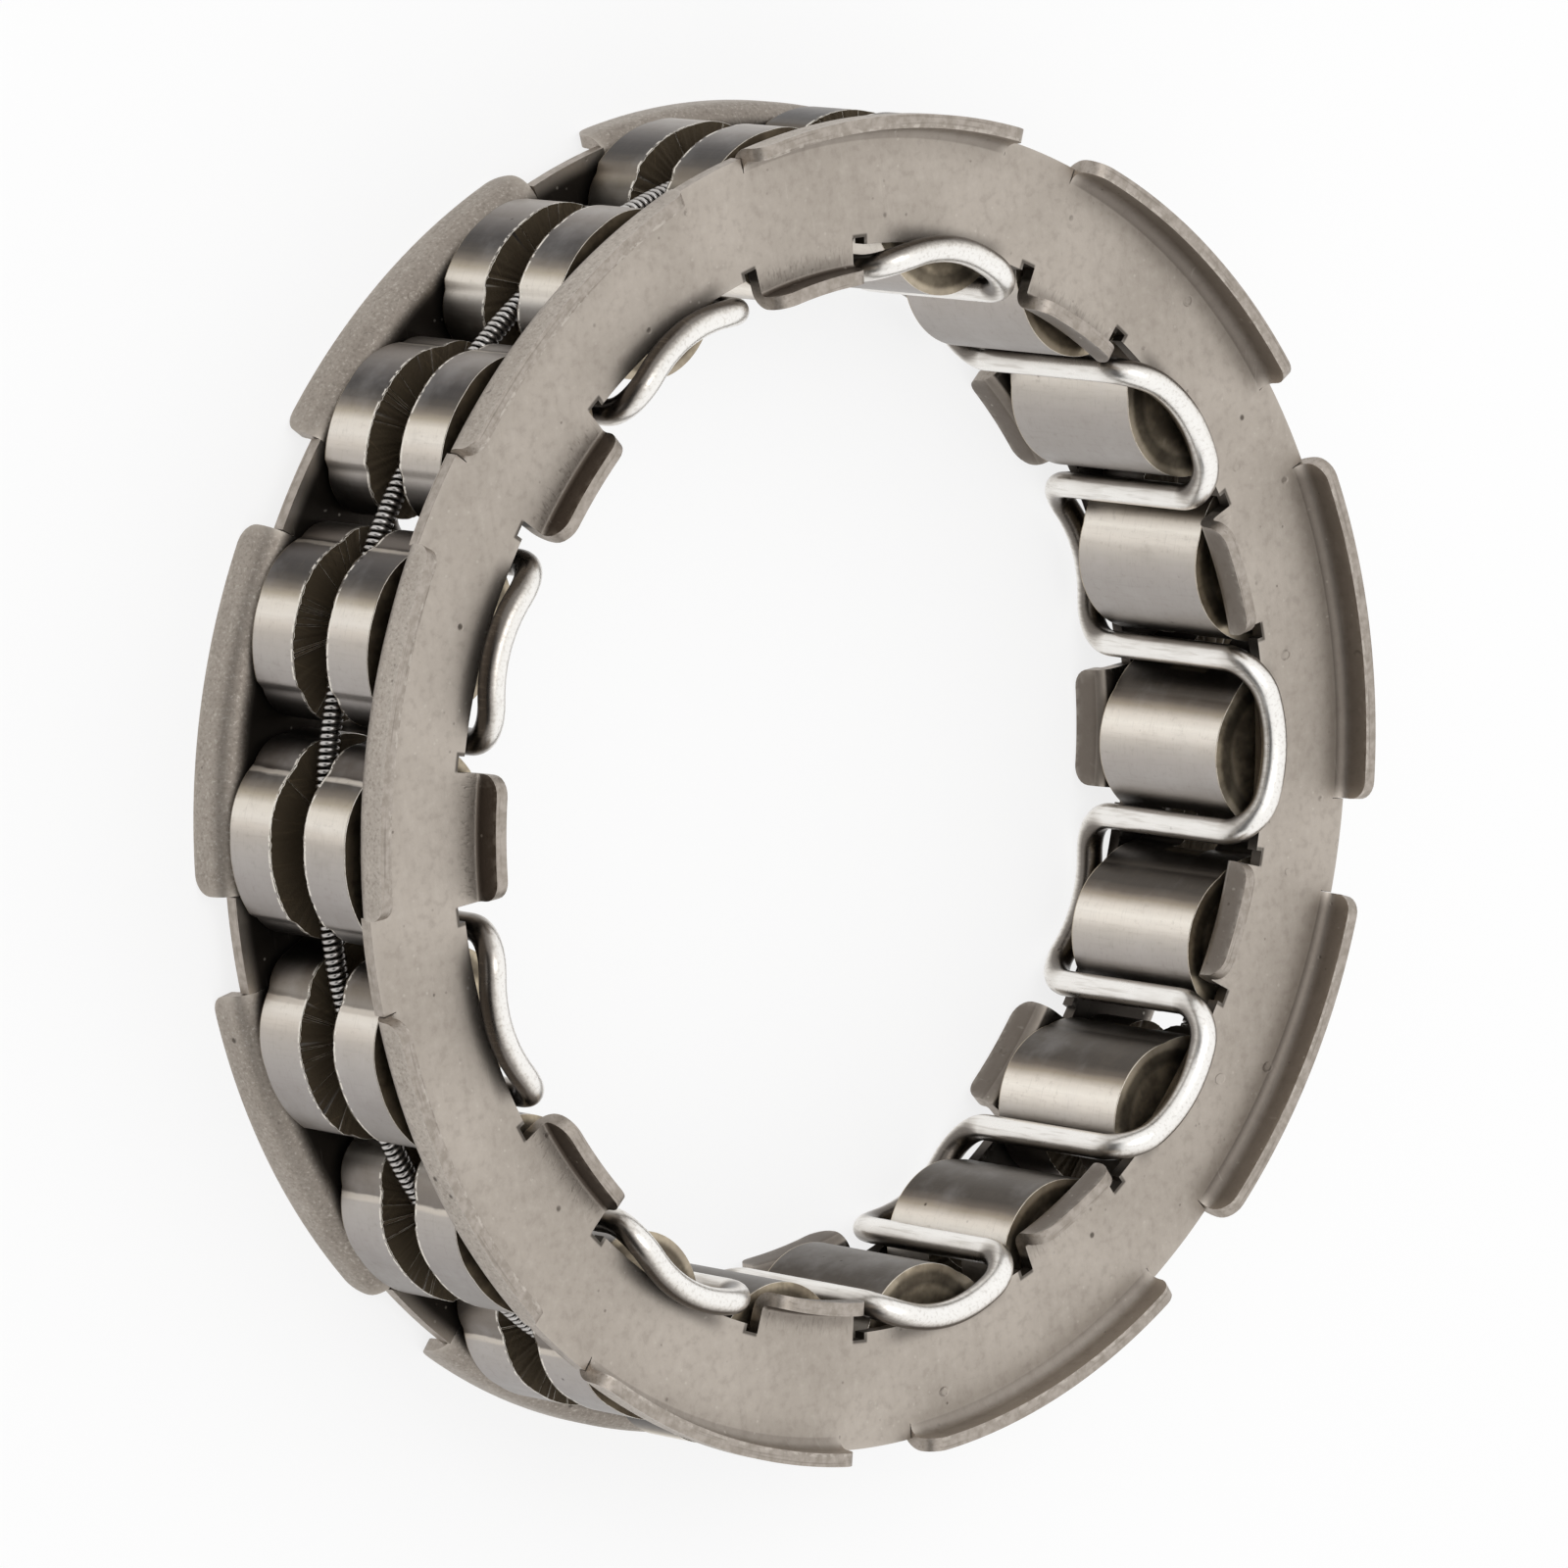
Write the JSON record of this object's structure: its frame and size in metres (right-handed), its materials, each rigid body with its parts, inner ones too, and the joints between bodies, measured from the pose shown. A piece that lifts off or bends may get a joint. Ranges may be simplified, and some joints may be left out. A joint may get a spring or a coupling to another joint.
{
  "type": "sprag clutch",
  "caption": "One-way clutch ring: rocking steel sprags held between tabbed side plates by a garter spring and a serpentine wire retainer.",
  "frame": {"origin": "centre of the ring, halfway between the side plates", "axes": "+Z along the clutch axis, out of the plate that the picture shows; +X through the middle of an outer tab"},
  "size_m": [0.0743, 0.0744, 0.0154],
  "materials": {
    "plate_steel": "tumbled, matte",
    "sprag_steel": "ground, satin",
    "spring_steel": "drawn, bright",
    "wire_steel": "drawn, polished"
  },
  "bodies": {
    "cage": {"front_plate": "plate_steel", "back_plate": "plate_steel", "wire_retainer": "wire_steel", "garter_spring": "spring_steel"},
    "sprag_01": {"sprag_01": "sprag_steel"},
    "sprag_02": {"sprag_02": "sprag_steel"},
    "sprag_03": {"sprag_03": "sprag_steel"},
    "sprag_04": {"sprag_04": "sprag_steel"},
    "sprag_05": {"sprag_05": "sprag_steel"},
    "sprag_06": {"sprag_06": "sprag_steel"},
    "sprag_07": {"sprag_07": "sprag_steel"},
    "sprag_08": {"sprag_08": "sprag_steel"},
    "sprag_09": {"sprag_09": "sprag_steel"},
    "sprag_10": {"sprag_10": "sprag_steel"},
    "sprag_11": {"sprag_11": "sprag_steel"},
    "sprag_12": {"sprag_12": "sprag_steel"},
    "sprag_13": {"sprag_13": "sprag_steel"},
    "sprag_14": {"sprag_14": "sprag_steel"},
    "sprag_15": {"sprag_15": "sprag_steel"},
    "sprag_16": {"sprag_16": "sprag_steel"},
    "sprag_17": {"sprag_17": "sprag_steel"},
    "sprag_18": {"sprag_18": "sprag_steel"}
  },
  "joints": [
    {"name": "sprag_01_rock", "type": "hinge", "parent": "cage", "child": "sprag_01", "pos_m": [0.03186, 0.00592, 0], "axis": [0, 0, 1], "range_deg": [0, 9], "stiffness_Nm_per_rad": 0.01, "springref_deg": -2.86},
    {"name": "sprag_02_rock", "type": "hinge", "parent": "cage", "child": "sprag_02", "pos_m": [0.02791, 0.01646, 0], "axis": [0, 0, 1], "range_deg": [0, 9], "stiffness_Nm_per_rad": 0.01, "springref_deg": -2.86},
    {"name": "sprag_03_rock", "type": "hinge", "parent": "cage", "child": "sprag_03", "pos_m": [0.0206, 0.02501, 0], "axis": [0, 0, 1], "range_deg": [0, 9], "stiffness_Nm_per_rad": 0.01, "springref_deg": -2.86},
    {"name": "sprag_04_rock", "type": "hinge", "parent": "cage", "child": "sprag_04", "pos_m": [0.0108, 0.03055, 0], "axis": [0, 0, 1], "range_deg": [0, 9], "stiffness_Nm_per_rad": 0.01, "springref_deg": -2.86},
    {"name": "sprag_05_rock", "type": "hinge", "parent": "cage", "child": "sprag_05", "pos_m": [-0.0003, 0.0324, 0], "axis": [0, 0, 1], "range_deg": [0, 9], "stiffness_Nm_per_rad": 0.01, "springref_deg": -2.86},
    {"name": "sprag_06_rock", "type": "hinge", "parent": "cage", "child": "sprag_06", "pos_m": [-0.01136, 0.03034, 0], "axis": [0, 0, 1], "range_deg": [0, 9], "stiffness_Nm_per_rad": 0.01, "springref_deg": -2.86},
    {"name": "sprag_07_rock", "type": "hinge", "parent": "cage", "child": "sprag_07", "pos_m": [-0.02106, 0.02463, 0], "axis": [0, 0, 1], "range_deg": [0, 9], "stiffness_Nm_per_rad": 0.01, "springref_deg": -2.86},
    {"name": "sprag_08_rock", "type": "hinge", "parent": "cage", "child": "sprag_08", "pos_m": [-0.02821, 0.01594, 0], "axis": [0, 0, 1], "range_deg": [0, 9], "stiffness_Nm_per_rad": 0.01, "springref_deg": -2.86},
    {"name": "sprag_09_rock", "type": "hinge", "parent": "cage", "child": "sprag_09", "pos_m": [-0.03196, 0.00533, 0], "axis": [0, 0, 1], "range_deg": [0, 9], "stiffness_Nm_per_rad": 0.01, "springref_deg": -2.86},
    {"name": "sprag_10_rock", "type": "hinge", "parent": "cage", "child": "sprag_10", "pos_m": [-0.03186, -0.00592, 0], "axis": [0, 0, 1], "range_deg": [0, 9], "stiffness_Nm_per_rad": 0.01, "springref_deg": -2.86},
    {"name": "sprag_11_rock", "type": "hinge", "parent": "cage", "child": "sprag_11", "pos_m": [-0.02791, -0.01646, 0], "axis": [0, 0, 1], "range_deg": [0, 9], "stiffness_Nm_per_rad": 0.01, "springref_deg": -2.86},
    {"name": "sprag_12_rock", "type": "hinge", "parent": "cage", "child": "sprag_12", "pos_m": [-0.0206, -0.02501, 0], "axis": [0, 0, 1], "range_deg": [0, 9], "stiffness_Nm_per_rad": 0.01, "springref_deg": -2.86},
    {"name": "sprag_13_rock", "type": "hinge", "parent": "cage", "child": "sprag_13", "pos_m": [-0.0108, -0.03055, 0], "axis": [0, 0, 1], "range_deg": [0, 9], "stiffness_Nm_per_rad": 0.01, "springref_deg": -2.86},
    {"name": "sprag_14_rock", "type": "hinge", "parent": "cage", "child": "sprag_14", "pos_m": [0.0003, -0.0324, 0], "axis": [0, 0, 1], "range_deg": [0, 9], "stiffness_Nm_per_rad": 0.01, "springref_deg": -2.86},
    {"name": "sprag_15_rock", "type": "hinge", "parent": "cage", "child": "sprag_15", "pos_m": [0.01136, -0.03034, 0], "axis": [0, 0, 1], "range_deg": [0, 9], "stiffness_Nm_per_rad": 0.01, "springref_deg": -2.86},
    {"name": "sprag_16_rock", "type": "hinge", "parent": "cage", "child": "sprag_16", "pos_m": [0.02106, -0.02463, 0], "axis": [0, 0, 1], "range_deg": [0, 9], "stiffness_Nm_per_rad": 0.01, "springref_deg": -2.86},
    {"name": "sprag_17_rock", "type": "hinge", "parent": "cage", "child": "sprag_17", "pos_m": [0.02821, -0.01594, 0], "axis": [0, 0, 1], "range_deg": [0, 9], "stiffness_Nm_per_rad": 0.01, "springref_deg": -2.86},
    {"name": "sprag_18_rock", "type": "hinge", "parent": "cage", "child": "sprag_18", "pos_m": [0.03196, -0.00533, 0], "axis": [0, 0, 1], "range_deg": [0, 9], "stiffness_Nm_per_rad": 0.01, "springref_deg": -2.86}
  ],
  "couplings": [
    {"joint": "sprag_02_rock", "follows": "sprag_01_rock", "ratio": 1},
    {"joint": "sprag_03_rock", "follows": "sprag_01_rock", "ratio": 1},
    {"joint": "sprag_04_rock", "follows": "sprag_01_rock", "ratio": 1},
    {"joint": "sprag_05_rock", "follows": "sprag_01_rock", "ratio": 1},
    {"joint": "sprag_06_rock", "follows": "sprag_01_rock", "ratio": 1},
    {"joint": "sprag_07_rock", "follows": "sprag_01_rock", "ratio": 1},
    {"joint": "sprag_08_rock", "follows": "sprag_01_rock", "ratio": 1},
    {"joint": "sprag_09_rock", "follows": "sprag_01_rock", "ratio": 1},
    {"joint": "sprag_10_rock", "follows": "sprag_01_rock", "ratio": 1},
    {"joint": "sprag_11_rock", "follows": "sprag_01_rock", "ratio": 1},
    {"joint": "sprag_12_rock", "follows": "sprag_01_rock", "ratio": 1},
    {"joint": "sprag_13_rock", "follows": "sprag_01_rock", "ratio": 1},
    {"joint": "sprag_14_rock", "follows": "sprag_01_rock", "ratio": 1},
    {"joint": "sprag_15_rock", "follows": "sprag_01_rock", "ratio": 1},
    {"joint": "sprag_16_rock", "follows": "sprag_01_rock", "ratio": 1},
    {"joint": "sprag_17_rock", "follows": "sprag_01_rock", "ratio": 1},
    {"joint": "sprag_18_rock", "follows": "sprag_01_rock", "ratio": 1}
  ]
}
